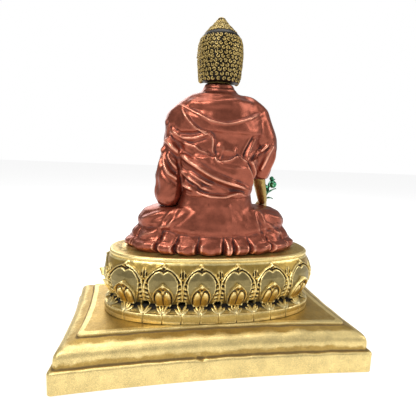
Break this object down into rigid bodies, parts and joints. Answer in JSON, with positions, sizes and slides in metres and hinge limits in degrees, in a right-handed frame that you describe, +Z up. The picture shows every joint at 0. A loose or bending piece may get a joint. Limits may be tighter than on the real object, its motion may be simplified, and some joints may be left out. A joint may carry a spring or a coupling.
{
  "type": "seated buddha statue",
  "caption": "Seated robed figure with a bowl and a fruit sprig, on an oval lotus throne and a moulded rectangular plinth.",
  "frame": {"origin": "on the ground, under the middle of the plinth", "axes": "+Z up; the figure faces -Y; +X is the figure's left"},
  "size_m": [0.2, 0.11, 0.224],
  "materials": {
    "satin_gold": "satin metallic gold paint on filled resin",
    "antique_gold": "gold paint with a black patina wiped into the recesses",
    "copper_robe": "metallic copper-brown lacquer with rubbed highlights",
    "skin_gold": "warm satin gold paint",
    "hair_black": "black with gold-wiped curls",
    "sprig_green": "metallic green lacquer",
    "bowl_blue": "deep blue lacquer with a gold rim",
    "steel": "zinc-plated steel",
    "brass": "turned brass",
    "felt": "dark wool felt"
  },
  "bodies": {
    "root": {"base_felt": "felt", "plinth": "satin_gold", "fixing_screws": "steel", "screw_washers": "steel", "threaded_inserts": "brass", "throne_foot": "satin_gold", "throne_drum": "antique_gold", "fringe_leaves": "antique_gold", "large_petals": "antique_gold", "small_petals": "antique_gold", "rear_petals": "antique_gold", "seat_plate": "satin_gold", "seat_pegs": "steel", "lower_body": "copper_robe", "waist_peg": "steel", "torso": "skin_gold", "outer_robe": "copper_robe", "shoulder_cape": "copper_robe", "sash": "copper_robe", "left_sleeve": "copper_robe", "right_sleeve": "copper_robe", "left_forearm": "skin_gold", "right_forearm": "skin_gold", "wrist_pins": "steel", "feet": "skin_gold", "medicine_bowl": "bowl_blue", "bowl_pin": "steel", "head": "skin_gold", "neck_peg": "steel", "hair_cap": "hair_black", "hair_spire": "antique_gold", "sprig_stem": "sprig_green", "sprig_leaves": "sprig_green", "sprig_fruits": "sprig_green"}
  },
  "joints": []
}
